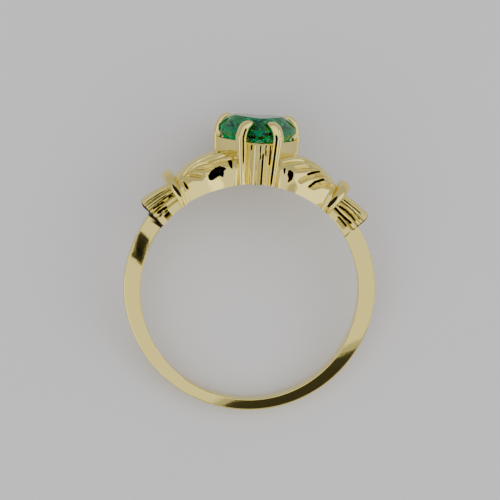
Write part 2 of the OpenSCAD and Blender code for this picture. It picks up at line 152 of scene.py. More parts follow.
# Shader wires
class Wire:
    """An output of a shader node that takes part in Python expressions"""

    def __init__(self, nodes, socket):
        self.nodes = nodes
        self.socket = socket

    def maths(self, operation, *values):
        return self.nodes.add("ShaderNodeMath", dict(enumerate(values)), operation=operation)

    def __add__(self, other):
        return self.maths("ADD", self, other)

    def __radd__(self, other):
        return self.maths("ADD", other, self)

    def __mul__(self, other):
        return self.maths("MULTIPLY", self, other)

    def __rmul__(self, other):
        return self.maths("MULTIPLY", other, self)

    def within(self, low, high):
        """How far the value has come from low to high, kept from 0 to 1"""
        inputs = {"Value": self, "From Min": low, "From Max": high}
        return self.nodes.add("ShaderNodeMapRange", inputs, interpolation_type="SMOOTHSTEP")


class Nodes:
    """The nodes of one material"""

    def __init__(self, name):
        self.material = bpy.data.materials.new(name)
        self.material.use_nodes = True
        self.tree = self.material.node_tree
        self.shader = self.tree.nodes["Principled BSDF"]

    def add(self, kind, inputs=None, out=0, **settings):
        """Adds a node: first its settings, then the values or wires of its sockets"""
        node = self.tree.nodes.new(kind)
        for key, value in settings.items():
            setattr(node, key, value)
        for key, value in (inputs or {}).items():
            self.feed(node.inputs[key], value)
        return Wire(self, node.outputs[out])

    def feed(self, socket, value):
        if isinstance(value, Wire):
            self.tree.links.new(value.socket, socket)
        else:
            socket.default_value = value

    def place(self):
        """Place on the piece, in millimetres"""
        spot = self.add("ShaderNodeTexCoord", out="Object")
        return self.add("ShaderNodeMapping", {"Vector": spot, "Scale": (TO_MM,) * 3})

    def noise(self, place, scale, detail=2.0, rough=0.5):
        inputs = {"Vector": place, "Scale": scale, "Detail": detail, "Roughness": rough}
        return self.add("ShaderNodeTexNoise", inputs)

    def blend(self, share, a, b):
        inputs = {"Factor": share, 6: a, 7: b}
        return self.add("ShaderNodeMix", inputs, out=2, data_type="RGBA")

    def relief(self, height, distance):
        inputs = {"Height": height, "Distance": distance * MM, "Strength": 1.0}
        return self.add("ShaderNodeBump", inputs)

    def shade(self, **inputs):
        """Sets the surface's own sockets, named with their underscores as spaces"""
        for key, value in inputs.items():
            self.feed(self.shader.inputs[key.replace("_", " ")], value)
        return self.material


def polished_gold(name, cast=0.0):
    """Yellow gold with a fine polish, with shade painted dark into its carving, hollows, slots and
    seams. The more it is cast, the softer its skin.
    """
    nodes = Nodes(name)
    place = nodes.place()
    dull = nodes.noise(place, 1.7, 3.0)
    hairs = nodes.noise(place, 38.0, 2.0, 0.6)
    soft = nodes.noise(place, 2.4, 2.0)
    # the painted shade layer darkens the gold where shade falls, and makes it rougher there
    deep = nodes.add("ShaderNodeAttribute", out="Fac", attribute_name=SHADE_LAYER).within(0.08, 0.6)
    gold_with_painted_shade = nodes.blend(deep, colour("gold"), colour("recess"))
    skin = soft + hairs * (0.04 * min(1, cast))
    return nodes.shade(
        Base_Color=gold_with_painted_shade,
        Metallic=1.0,
        Roughness=0.012 + 0.01 * dull + (0.14 * cast) * (0.6 + 0.6 * hairs) + 0.4 * deep,
        Normal=nodes.relief(skin, 0.00015 + 0.012 * cast),
    )


def green_stone():
    """A clear deep green stone"""
    nodes = Nodes("green_stone")
    place = nodes.place()
    cloud = nodes.noise(place, 0.9, 2.0)
    deep = tuple(c * 0.6 for c in colour("stone")[:3]) + (1.0,)
    return nodes.shade(
        Base_Color=nodes.blend(cloud.within(0.35, 0.65), deep, colour("stone")),
        Roughness=0.0,
        IOR=1.54,
        Specular_IOR_Level=0.05,
        # painted reflection: the teal tint on the stone's reflections stands in for a bluish room round
        # it
        Specular_Tint=(0.12, 0.75, 0.65, 1.0),
        Transmission_Weight=1.0,
    )


# Modelling helpers
# the layer of painted shade: how dark each point is painted where shade falls, from 0 to 1
SHADE_LAYER = "depth"       # how dark and deep a point lies in the carving, from 0 to 1


def fresh(name):
    """Names the object that an operator has just added"""
    piece = bpy.context.active_object
    piece.name = name
    piece.data.name = name
    return piece


def clear_choice():
    if bpy.context.mode != "OBJECT":
        bpy.ops.object.mode_set(mode="OBJECT")
    bpy.ops.object.select_all(action="DESELECT")


def choose(piece):
    clear_choice()
    piece.select_set(True)
    bpy.context.view_layer.objects.active = piece


def apply_modifier(piece, kind, **settings):
    """Adds a modifier to a piece and applies it"""
    choose(piece)
    modifier = piece.modifiers.new(kind.title(), kind)
    for key, value in settings.items():
        setattr(modifier, key, value)
    bpy.ops.object.modifier_apply(modifier=modifier.name)


def close_ends(closed):
    """Fills the open rings of the mesh in edit mode, or joins the two of them"""
    bpy.ops.mesh.select_all(action="DESELECT")
    bpy.ops.mesh.select_non_manifold(extend=False, use_wire=False, use_multi_face=False,
                                     use_non_contiguous=False, use_verts=False)
    if closed:
        bpy.ops.mesh.fill_holes(sides=0)
    else:
        bpy.ops.mesh.bridge_edge_loops()


def face_outwards():
    """Turns the faces of the mesh in edit mode outwards, and leaves edit mode"""
    bpy.ops.mesh.select_all(action="SELECT")
    bpy.ops.mesh.normals_make_consistent(inside=False)
    bpy.ops.object.mode_set(mode="OBJECT")


def drawn_out(name, rings, closed=True):
    """Extrudes a circle of edges from ring to ring, and places its points on each of them.

    The ends are filled, or joined to each other when the piece is a tube round itself.
    """
    clear_choice()
    bpy.ops.mesh.primitive_circle_add(vertices=len(rings[0]), radius=1)
    piece = fresh(name)
    bpy.ops.object.mode_set(mode="EDIT")
    mesh = bmesh.from_edit_mesh(piece.data)
    for layer in ("turn", "row"):
        mesh.verts.layers.int.new(layer)
    turn = mesh.verts.layers.int["turn"]
    for number, vert in enumerate(mesh.verts):
        vert[turn] = number
        vert.co = rings[0][number]
    bmesh.update_edit_mesh(piece.data)
    for number, ring in enumerate(rings[1:], 1):
        bpy.ops.mesh.extrude_region_move()
        mesh = bmesh.from_edit_mesh(piece.data)
        turn, row = mesh.verts.layers.int["turn"], mesh.verts.layers.int["row"]
        for vert in mesh.verts:
            if vert.select:
                vert.co = ring[vert[turn]]
                vert[row] = number
        bmesh.update_edit_mesh(piece.data)
    close_ends(closed)
    face_outwards()
    return piece


def places(piece):
    """The piece's points as an array of rows"""
    flat = np.empty(len(piece.data.vertices) * 3)
    piece.data.vertices.foreach_get("co", flat)
    return flat.reshape(-1, 3)


def set_places(piece, points):
    piece.data.vertices.foreach_set("co", points.ravel())
    piece.data.update()


def round_finger(points, side):
    """Each point's distance from the finger's middle, and its angle from the head on one side"""
    x, y = points[:, 0], points[:, 1]
    return np.hypot(x, y), np.degrees(np.arctan2(side * x, y))


def from_line(points, line):
    """Distance of each point from a line through places"""
    nearest = np.full(len(points), np.inf)
    for start, end in zip(line, line[1:]):
        start, end = np.array(start), np.array(end)
        way = end - start
        share = np.clip((points - start) @ way / (way @ way), 0, 1)
        gap = points - (start + share[:, None] * way)
        nearest = np.minimum(nearest, np.linalg.norm(gap, axis=1))
    return nearest


def keep_painted_shade(piece, depth):
    """Writes down how much shade is painted on each point, for the gold to darken"""
    layer = piece.data.attributes.get(SHADE_LAYER) or piece.data.attributes.new(SHADE_LAYER, "FLOAT", "POINT")
    before = np.empty(len(depth))
    layer.data.foreach_get("value", before)
    layer.data.foreach_set("value", np.maximum(before, depth))


def carve(piece, inward, grooves):
    """Presses grooves into a piece, with shade painted into the deep, narrow ones. A groove is a line, a
    half width and a depth.
    """
    points = places(piece)
    ways = inward(points)
    ways /= np.maximum(np.linalg.norm(ways, axis=1, keepdims=True), 1e-9)
    depth = np.zeros(len(points))
    groove_shade = np.zeros(len(points))
    for line, half_w, deep in grooves:
        share = np.exp(-(from_line(points, line) / half_w) ** 2)
        depth = np.maximum(depth, deep * share)
        # painted shade in the groove, darker where it is deep and narrow
        groove_shade = np.maximum(groove_shade, share * min(1, max(0, (deep / half_w - 0.9) / 2.2)))
    keep_painted_shade(piece, groove_shade)
    set_places(piece, points + ways * depth[:, None])


def hollow_out(piece, outline, deep, lip=0.1):
    """Presses a hollow with a given outline into the face that looks up along the finger, and paints it
    dark with shade
    """
    points = places(piece)
    line = [(x, y, 0) for x, y in outline + outline[:1]]
    flat = points * (1, 1, 0)
    inside = np.zeros(len(points), bool)
    for (x0, y0, _), (x1, y1, _) in zip(line, line[1:]):
        crosses = (y0 > flat[:, 1]) != (y1 > flat[:, 1])
        at = x0 + (flat[:, 1] - y0) * (x1 - x0) / (y1 - y0 if y1 != y0 else 1)
        inside ^= crosses & (flat[:, 0] < at)
    share = np.clip(from_line(flat, line) / lip, 0, 1) * inside * (points[:, 2] > 0)
    points[:, 2] -= deep * share * share * (3 - 2 * share)
    # painted shade fills the hollow
    keep_painted_shade(piece, np.clip(share * 2, 0, 1))
    set_places(piece, points)


# The angles past which an edge stays sharp. The crisp one keeps flat faces flat beside a rounded
# edge, whose steps are too fine to see.
CRISP_DEG = 6
CARVED_DEG = 50
ROUND_DEG = 60


def finish(piece, material, sharp_deg=ROUND_DEG):
    """Smooths a piece, lays it down with the ring and gives it its material and body"""
    choose(piece)
    bpy.ops.object.shade_smooth_by_angle(angle=math.radians(sharp_deg))
    piece.matrix_world = LYING
    bpy.ops.object.transform_apply(location=True, rotation=True, scale=True)
    piece.data.materials.clear()
    piece.data.materials.append(material)
    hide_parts("gold_ring")
    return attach(piece, "root")


# Forms that the shoulder pieces share
def arc_deg(length):
    return math.degrees(length / FINGER_R)


def mix(a, b, share):
    return a + (b - a) * share


def on_shoulder(deg, lean, z, h, side=1):
    """A point that stands on the finger at an angle from the head, on a line that leans"""
    a, b = math.radians(deg), math.radians(lean)
    x = FINGER_R * math.sin(a) + h * math.sin(b)
    return Vector((side * x, FINGER_R * math.cos(a) + h * math.cos(b), z))


def arch(half_w, height, power, count, lift):
    """An outline over a flat foot, as places along and over the finger"""
    line = []
    for i in range(count + 1):
        c, s = math.cos(math.pi * i / count), math.sin(math.pi * i / count)
        z = half_w * math.copysign(abs(c) ** (2 / power), c)
        line.append((z, lift + (height - lift) * max(s, 0.0) ** (2 / power)))
    return line


def towards_core(core_h):
    """The way from each point of a shoulder piece to the line inside it at a height"""
    def ways(points):
        flat = points * (1, 1, 0)
        core = flat / np.linalg.norm(flat, axis=1, keepdims=True) * (FINGER_R + core_h)
        return core - points
    return ways


def one_way(way):
    """The same way from every point"""
    return lambda points: np.tile(way, (len(points), 1))


# Clearances over the finger, so that no two undersides share one surface
SLEEVE_LIFT = 0.03
COLLAR_LIFT = 0.024
HAND_LIFT = 0.018
PRONG_LIFT = 0.012
SETTING_LIFT = 0.006

# Where the sleeves start from the head, how far their free ends lean back, how far the tall collars
# turn in their thickness, and how the low collars and the wrists lean from the head, in degrees
SLEEVE_DEG = 41.7
SLEEVE_TURN = 7.5
COLLAR_TURN = 18
LOW_LEAN = SLEEVE_DEG - COLLAR_TURN - 1


def low_collar_deg():
    """Where a low collar starts, just under its tall one, in degrees from the head"""
    return SLEEVE_DEG - arc_deg(mm("collar_foot_t") * 0.8)


# How far the band's ends reach under the sleeves, as a share of their length
BAND_UNDER = 0.45
# The seam where the left end of the band comes out of its sleeve, painted dark as the shadow of the gap
# under the sleeve's end, in degrees from the head: its middle, and its half widths at the finger and at
# the band's outer edge
SEAM_DEG = 53.0
SEAM_HALF_DEG = (4.7, 3.2)


def make_band():
    """The band, spun round the finger from sleeve to sleeve"""
    width, side_r = mm("band_w"), FINGER_R + mm("band_side_t")
    back_r = FINGER_R + mm("band_back_t")
    flat_r = (side_r ** 2 / back_r + back_r) / 2
    lift = flat_r - back_r
    hidden = math.radians(SLEEVE_DEG + arc_deg(mm("sleeve_len")) * BAND_UNDER)
    clear_choice()
    bpy.ops.mesh.primitive_plane_add(size=1, rotation=(math.pi / 2, 0, 0))
    piece = fresh("band")
    bpy.ops.object.transform_apply(rotation=True)
    bpy.ops.object.mode_set(mode="EDIT")
    bpy.ops.mesh.select_all(action="SELECT")
    bpy.ops.transform.resize(value=(side_r - FINGER_R, 1, width))
    bpy.ops.transform.translate(value=((side_r + FINGER_R) / 2, 0, 0))
    bpy.ops.transform.rotate(value=hidden - math.pi / 2, orient_axis="Z",
                             center_override=(0, 0, 0))
    bpy.ops.mesh.spin(steps=200, angle=2 * math.pi - 2 * hidden, center=(0, 0, 0),
                      axis=(0, 0, 1))
    face_outwards()
    points = places(piece)
    radius = np.hypot(points[:, 0], points[:, 1])
    outer = radius > (side_r + FINGER_R) / 2
    up = points[:, 1] / radius
    flattened = lift * up + np.sqrt((lift * up) ** 2 + flat_r ** 2 - lift ** 2)
    target = np.where(outer, np.minimum(side_r, flattened), FINGER_R)
    points[:, :2] *= (target / radius)[:, None]
    set_places(piece, points)
    apply_modifier(piece, "BEVEL", width=mm("band_round"), segments=6, limit_method="ANGLE",
                   angle_limit=math.radians(50))
    # painted shadow on the band where it comes out of the left sleeve
    radius, turned = round_finger(places(piece), -1)
    half_deg = mix(*SEAM_HALF_DEG, (radius - FINGER_R) / mm("band_side_t"))
    keep_painted_shade(piece, (np.abs(turned - SEAM_DEG) < half_deg).astype(float))
    return piece


# Slits and fine lines pressed into the front of a sleeve. A place is its share of the way from the
# collar to the free end, and its height as a share of the sleeve's.
LEFT_SLITS = (
    ((0.86, 0.63), (0.66, 0.61), (0.48, 0.58)),
    ((0.85, 0.42), (0.68, 0.40), (0.53, 0.37)),
    ((0.76, 0.18), (0.59, 0.17)),
    ((0.22, 0.60), (0.12, 0.60)),
)
RIGHT_SLITS = (
    ((0.19, 0.55), (0.36, 0.58), (0.48, 0.60), (0.82, 0.58)),
    ((0.14, 0.38), (0.34, 0.36), (0.55, 0.37), (0.80, 0.41)),
    ((0.42, 0.213), (0.60, 0.213), (0.77, 0.213)),
)
LEFT_SCORES = (
    ((0.95, 0.93), (0.30, 0.90)), ((0.90, 0.84), (0.45, 0.81)), ((0.97, 0.75), (0.25, 0.74)),
    ((0.92, 0.52), (0.66, 0.505)), ((0.90, 0.30), (0.55, 0.27)), ((0.42, 0.68), (0.10, 0.67)),
)
RIGHT_SCORES = (((0.10, 0.72), (0.50, 0.74), (0.90, 0.71)), ((0.15, 0.86), (0.80, 0.87)))
SLEEVE_LOOKS = {-1: (LEFT_SLITS, LEFT_SCORES), 1: (RIGHT_SLITS, RIGHT_SCORES)}
SLIT = (0.07, 0.5)    # half width and depth
SCORE = (0.04, 0.14)
SLEEVE_FOOT = 0.92    # a sleeve's length at the finger, as a share of its length
SLEEVE_ENDS = {-1: -1.3, 1: -0.4}      # how much further round each sleeve reaches, in degrees
SLEEVE_POWER = 4.4    # how square a sleeve's section is
FLUTES = 19
# The rounded edge at a sleeve's free end: how far each row lies past the end, as a share of the
# overhang, and how much of the sleeve's size it keeps
SLEEVE_OVERHANG = 0.16
SLEEVE_EDGE = ((0.10, 1.0), (0.35, 0.995), (0.5, 0.975), (0.6, 0.93), (1.1, 0.75), (1.6, 0.55))


def make_sleeve(side):
    """A fluted sleeve over the end of the band"""
    stations, around = 56, 190
    end_deg = SLEEVE_DEG + arc_deg(mm("sleeve_len") * SLEEVE_FOOT) + SLEEVE_ENDS[side]
    hidden_deg = arc_deg(mm("collar_foot_t"))

    def spot(t, z_share, h_share):
        deg = mix(SLEEVE_DEG - hidden_deg, end_deg, t)
        lean = mix(SLEEVE_DEG, end_deg - SLEEVE_TURN, t)
        wide = mix(mm("sleeve_w"), mm("sleeve_end_w"), t) / 2
        high = mix(mm("sleeve_h"), mm("sleeve_end_h"), t)
        return on_shoulder(deg, lean, z_share * wide, h_share * high, side)

    outline = arch(1, 1, SLEEVE_POWER, around, SLEEVE_LIFT / mm("sleeve_h"))
    rings = [[spot(i / stations, z, h) for z, h in outline] for i in range(stations + 1)]
    for out, keep in SLEEVE_EDGE:
        ring = []
        for i, (z, h) in enumerate(outline):
            jag = 0.75 + 0.25 * math.cos(2 * math.pi * FLUTES * i / around)
            past = 1 + SLEEVE_OVERHANG / mm("sleeve_len") * out * jag
            ring.append(spot(past, z * keep, h * (0.6 + 0.4 * keep) if h > 0.1 else h))
        rings.append(ring)
    piece = drawn_out(f"sleeve_{SIDES[side]}", rings)
    grooves = []
    for i in range(FLUTES):
        place = (i + 0.5) / FLUTES
        sway = math.sin(2.4 * i + side)
        at = int(round(place * around))
        drift = int(round(1.6 * sway))
        deep = mm("flute_t") * (0.8 + 0.2 * math.sin(4.1 * i + 2 * side))
        line = [rings[j][min(max(at + int(drift * math.sin(j / stations * 5 + i)), 0), around)]
                for j in range(0, stations + 4, 4)]
        grooves.append((line, 0.075 + 0.015 * sway, deep))
    slits, scores = SLEEVE_LOOKS[side]
    for slit in slits:
        grooves.append(([spot(t, 1, h) for t, h in slit], *SLIT))
    for score in scores:
        line = [spot(t, (1 - h ** SLEEVE_POWER) ** (1 / SLEEVE_POWER), h) for t, h in score]
        grooves.append((line, *SCORE))
    carve(piece, towards_core(mm("sleeve_h") * 0.45), grooves)
    # the rounded edge at the free end is painted dark with shade
    row = np.empty(len(piece.data.vertices), int)
    piece.data.attributes["row"].data.foreach_get("value", row)
    keep_painted_shade(piece, np.clip((row - stations - 2) / 2, 0, 1))
    return piece


# The slot in front between the collars, painted dark with shade: its angle from the head, its half width
# and the radii it runs between
SLOT_DEG = 38.75
SLOT_HALF_W = 0.15
SLOTS = {-1: (9.39, 10.62), 1: (9.07, 10.30)}
# How far the collars' faces draw back from each other at the slot, how far each tall collar leans in
# towards its hand, and how much taller it is
TALL_DRAW, LOW_DRAW = -0.12, 0.16
TALL_LEAN = {-1: 4.5, 1: 0.0}
TALL_EXTRA = {-1: 0.12, 1: 0.0}


def make_collar(name, side, deg, foot, lean, turn, width, height, slot):
    """A rolled collar across a shoulder. slot is how far a face of it draws back from its twin."""
    rows, around = 12, 90
    rings = []
    for row in range(rows + 1):
        share = row / rows
        size = 0.86 + 0.14 * (1 - abs(2 * share - 1) ** 2.4) ** (1 / 2.4)
        facing = share if slot < 0 else 1 - share
        ring = []
        for z, h in arch(width / 2 * size, height * size, 2.6, around, COLLAR_LIFT):
            rise = max(0.0, min(1.0, (h / height - 0.14) / 0.56))
            back = slot * math.sin(math.pi * rise) * facing ** 1.5
            back = back if z > 0 else 0
            spot_deg = deg - arc_deg(share * foot - back)
            ring.append(on_shoulder(spot_deg, lean - share * turn, z, h, side))
        rings.append(ring)
    piece = drawn_out(name, rings)
    points = places(piece)
    radius, turned = round_finger(points, side)
    low, high = SLOTS[side]
    along = np.clip((radius - low) / (high - low), 0, 1)
    half_w = SLOT_HALF_W * np.sqrt(4 * along * (1 - along))
    aside = np.radians(np.abs(turned - SLOT_DEG)) * radius
    # painted shade in the slot between the collars
    keep_painted_shade(piece, np.clip((half_w - aside) / 0.05, 0, 1) * (points[:, 2] > 0))
    return piece


def make_collars(side):
    """The tall and the low collar of one side, with the slot between them"""
    lean = TALL_LEAN[side]
    tall = make_collar(f"tall_collar_{SIDES[side]}", side, SLEEVE_DEG, mm("collar_foot_t"),
                       SLEEVE_DEG - lean, COLLAR_TURN - lean * 0.6, mm("collar_w"),
                       mm("collar_h") + TALL_EXTRA[side], TALL_DRAW)
    low = make_collar(f"low_collar_{SIDES[side]}", side, low_collar_deg(), mm("low_collar_t"),
                      LOW_LEAN, 2, mm("low_collar_w"), mm("low_collar_h"), LOW_DRAW)
    return tall, low


# Lines between the fingers and hollows in the palms. A place is its share of the way from the
# wrist to the finger tips, and its height as a share of the palm's.
LEFT_LINES = (
    ((0.10, 0.72), (0.20, 0.83), (0.35, 0.90), (0.51, 0.93), (0.67, 0.96), (0.85, 0.99)),
    ((0.20, 0.78), (0.37, 0.81), (0.52, 0.79), (0.66, 0.82), (0.86, 0.86), (1.0, 0.88)),
    ((0.17, 0.74), (0.29, 0.76), (0.45, 0.68), (0.62, 0.66)),
    ((0.17, 0.66), (0.26, 0.59), (0.36, 0.50)),
    ((0.62, 0.74), (0.78, 0.72), (0.87, 0.70), (1.0, 0.74)),
)
RIGHT_LINES = (
    ((0.95, 0.70), (0.87, 0.77), (0.71, 0.88), (0.48, 0.96), (0.30, 0.98)),
    ((0.72, 0.66), (0.58, 0.78), (0.36, 0.91), (0.20, 0.94)),
    ((0.62, 0.38), (0.49, 0.57), (0.27, 0.79), (0.11, 0.86)),
    ((0.34, 0.37), (0.21, 0.55), (0.03, 0.66)),
)
LEFT_CUTS = (((0.03, 0.57), (0.05, 0.50), (0.07, 0.37)),)
RIGHT_CUTS = (
    ((0.50, 0.64), (0.42, 0.74), (0.30, 0.86)),
    ((0.42, 0.34), (0.34, 0.53), (0.20, 0.72)),
)
LEFT_HOLLOWS = (
    ((0.50, 0.45), (0.55, 0.54), (0.64, 0.61), (0.73, 0.63), (0.82, 0.56), (0.85, 0.52),
     (0.80, 0.47), (0.79, 0.30), (0.72, 0.37), (0.66, 0.35), (0.57, 0.30), (0.51, 0.35)),
    ((0.88, 0.70), (0.93, 0.72), (0.96, 0.67), (0.96, 0.48), (0.93, 0.51), (0.89, 0.62)),
)
RIGHT_HOLLOWS = (
    ((0.89, 0.43), (0.88, 0.53), (0.85, 0.58), (0.78, 0.54), (0.77, 0.45), (0.79, 0.33),
     (0.86, 0.22), (0.87, 0.25), (0.86, 0.34)),
    ((0.97, 0.55), (0.93, 0.60), (0.93, 0.47), (0.95, 0.40)),
)
HAND_LOOKS = {-1: (LEFT_LINES, LEFT_CUTS, LEFT_HOLLOWS), 1: (RIGHT_LINES, RIGHT_CUTS, RIGHT_HOLLOWS)}
LINE_HALF_W = 0.15
CUT = (0.07, 0.45)    # half width and depth
PALM_AT = 0.6         # where a hand is highest, from its wrist to its finger tips


def make_hand(side, back_cutter):
    """A hand that holds the heart, with its fingers laid over its back"""
    stations, around = 96, 210
    wrist_deg = low_collar_deg() - arc_deg(mm("low_collar_t") * 0.75)
    tips_deg = math.degrees(math.asin(mm("tips_x") / FINGER_R))
    palm_h, wrist_h, tips_h = mm("palm_h"), mm("wrist_h"), mm("tips_h")

    def high(t):
        if t < PALM_AT:
            return mix(wrist_h, palm_h, math.sin(math.radians(90 * t / PALM_AT)))
        fall = 90 * (t - PALM_AT) / (1 - PALM_AT)
        return mix(palm_h, tips_h, 1 - math.cos(math.radians(fall)))

    def half_wide(t):
        return mix(mm("wrist_w"), mm("tips_w"), math.sin(math.radians(90 * t))) / 2

    def spot(t, z, h, past=0.0):
        deg = mix(wrist_deg, tips_deg, t) - arc_deg(past)
        return on_shoulder(deg, mix(LOW_LEAN, 0, t), z, h, side)

    def ring(t, shrink=1.0, past=0.0):
        height = high(t) * (1 - (1 - shrink) * 0.55)
        outline = arch(half_wide(t) * shrink, height, 3, around, HAND_LIFT)
        return [spot(t, z, h, past) for z, h in outline]

    rings = [ring(i / stations) for i in range(stations + 1)]
    for i in range(1, 9):
        turn = math.radians(90 * i / 8)
        rings.append(ring(1, 1 - 0.16 * (1 - math.cos(turn)), mm("tips_slant") * math.sin(turn)))
    piece = drawn_out(f"hand_{SIDES[side]}", rings)
    lines, cuts, hollows = HAND_LOOKS[side]

    def front(place, facing):
        """The place on the front or back of the hand at a share of its length and height"""
        t, share = place
        h = min(share * palm_h, high(t) * 0.995)
        ratio = (h - HAND_LIFT) / (high(t) - HAND_LIFT)
        return spot(t, facing * (half_wide(t) * (1 - ratio ** 3) ** (1 / 3)), h)

    grooves = []
    for facing in (-1, 1):
        for line in lines:
            path = [front(place, facing) for place in line]
            grooves.append((path, LINE_HALF_W, mm("finger_t")))
    for cut in cuts:
        grooves.append(([front(place, 1) for place in cut], *CUT))
    carve(piece, towards_core(palm_h * 0.45), grooves)
    for hollow in hollows:
        outline = [tuple(spot(t, 0, share * palm_h)[:2]) for t, share in hollow]
        hollow_out(piece, outline, mm("hollow_t"))
    apply_modifier(piece, "BOOLEAN", object=back_cutter, operation="DIFFERENCE", solver="EXACT")
    return piece


class Heart:
    """The heart outline, seen down on the stone: lobe circles and long side arcs from them"""

    def __init__(self):
        width, length, notch = mm("stone_w"), mm("stone_l"), mm("stone_notch")
        self.lobe_r = width / 2 + notch - math.sqrt(width * notch)
        self.lobe_x = width / 2 - self.lobe_r
        self.lobe_z = -length / 2 + self.lobe_r
        self.side_r = 2 * width
        self.tip_z = length / 2
        from_lobe = math.hypot(self.lobe_x, self.tip_z - self.lobe_z)
        from_side = self.side_r - self.lobe_r
        turn = math.degrees(math.acos((from_side ** 2 + from_lobe ** 2 - self.side_r ** 2)
                                      / (2 * from_side * from_lobe)))
        lean = math.degrees(math.atan((self.tip_z - self.lobe_z) / self.lobe_x))
        self.arc_dir = 180 - lean + turn
        self.arc_x = self.lobe_x + from_side * math.cos(math.radians(self.arc_dir))
        self.arc_z = self.lobe_z + from_side * math.sin(math.radians(self.arc_dir))
        self.join_deg = self.arc_dir - 180

    def half(self, s, out=0.0):
        """Half of the outline, from the tip at 0 to the notch at 1, moved out by a distance"""
        if s < 0.5:
            radius = self.side_r + out
            tip_deg = math.degrees(math.acos(-self.arc_x / radius))
            a = math.radians(mix(tip_deg, self.join_deg, s * 2))
            return self.arc_x + radius * math.cos(a), self.arc_z + radius * math.sin(a)
        radius = self.lobe_r + out
        notch_deg = -math.degrees(math.acos(-self.lobe_x / radius))
        a = math.radians(mix(self.join_deg, notch_deg, s * 2 - 1))
        return self.lobe_x + radius * math.cos(a), self.lobe_z + radius * math.sin(a)

    def wall_z(self, x, out=0.0):
        """Place along the finger of the side arc at a distance from the middle"""
        return self.arc_z + math.sqrt((self.side_r + out) ** 2 - (abs(x) - self.arc_x) ** 2)

    def ring(self, count, size=1.0, out=0.0):
        """The whole outline as x and z, closer towards the tip"""
        line = [self.half((i / count) ** 1.25, out) for i in range(count + 1)]
        left = [(-x, z) for x, z in line[-2:0:-1]]
        return [(x * size, z * size) for x, z in line + left]


def ring_at(outline, height):
    """An outline as places at a height over the middle of the finger, or at the finger's wall"""
    if height is None:
        foot_r = FINGER_R + SETTING_LIFT
        return [Vector((x, math.sqrt(foot_r ** 2 - x ** 2), z)) for x, z in outline]
    return [Vector((x, height, z)) for x, z in outline]


def setting_sizes():
    """The sizes of the setting's foot and of its hole, as shares of the heart's"""
    half_w = mm("stone_w") / 2
    return 1 - mm("setting_taper") / half_w, 1 - mm("setting_t") / half_w


def make_back_cutter():
    """The heart-shaped space inside the setting, which cuts the hands back to its wall"""
    heart = Heart()
    foot_size, hole = setting_sizes()
    rim_y = FINGER_R + mm("rim_h")
    rings = [ring_at(heart.ring(30, hole * mix(foot_size, 1.02, i / 3), 0.02),
                     mix(FINGER_R - 1, rim_y + 0.5, i / 3)) for i in range(4)]
    return drawn_out("back_cutter", rings)


# Flutes down the front of the setting: place across the head, share of the full depth, the heights
# over the finger that each runs between as shares of the rim's, and half width
FRONT_FLUTES = (
    (-1.02, 0.9, 0.45, 1.0, 0.07), (-0.63, 0.7, 0.84, 1.0, 0.055), (-0.28, 0.2, 0.0, 1.0, 0.16),
    (0.05, 0.85, 0.62, 1.0, 0.06), (0.30, 1.0, 0.0, 0.72, 0.075), (0.52, 0.75, 0.72, 1.0, 0.055),
    (0.62, 0.35, 0.0, 0.7, 0.10), (0.90, 0.85, 0.5, 1.0, 0.06), (-0.95, 0.25, 0.0, 0.45, 0.08),
    (1.04, 0.9, 0.0, 0.8, 0.07), (-1.82, 0.9, 0.0, 0.36, 0.10), (1.84, 0.8, 0.0, 0.5, 0.06),
)
FLUTE_DEPTH = 0.32
# The rim's rounding outside and bevel inside, and the plain band over the flutes
RIM_ROUND = 0.09
RIM_BEVEL = 0.12
RIM_BAND = 0.22


def make_setting():
    """The heart's wall, fluted down its front and open below the stone"""
    heart = Heart()
    count, rows = 120, 44
    rim_y = FINGER_R + mm("rim_h")
    foot_size, hole = setting_sizes()
    out = mm("rim_out")
    foot = ring_at(heart.ring(count, foot_size, out), None)
    top = ring_at(heart.ring(count, 1, out), rim_y - RIM_ROUND)
    rings = [[a.lerp(b, i / rows) for a, b in zip(foot, top)] for i in range(rows + 1)]
    for i in range(1, 5):
        turn = math.radians(90 * i / 4)
        outline = heart.ring(count, 1, out - RIM_ROUND * (1 - math.cos(turn)))
        rings.append(ring_at(outline, rim_y - RIM_ROUND + RIM_ROUND * math.sin(turn)))
    inner_top = ring_at(heart.ring(count, hole, 0), rim_y - RIM_BEVEL)
    inner_foot = ring_at(heart.ring(count, hole * foot_size, 0), None)
    rings.append(ring_at(heart.ring(count, hole, 0.05), rim_y))
    rings += [[a.lerp(b, i / 8) for a, b in zip(inner_top, inner_foot)] for i in range(9)]
    piece = drawn_out("setting", rings, closed=False)
    lean = mm("setting_taper") / mm("rim_h")
    grooves = []
    for x, deep, low, high, half_w in FRONT_FLUTES:
        line = []
        for share in (low, high):
            size = mix(foot_size, 1, share)
            y = FINGER_R + mm("rim_h") * share - (RIM_BAND if share == 1.0 else 0)
            line.append(Vector((x * size, y, heart.wall_z(x, out) * size)))
        if low == 0.0:
            line.insert(0, line[0] - Vector((0, 0.5, lean)))
        grooves.append((line, half_w, FLUTE_DEPTH * deep))
    carve(piece, one_way((0.0, 0.0, -1.0)), grooves)
    return piece


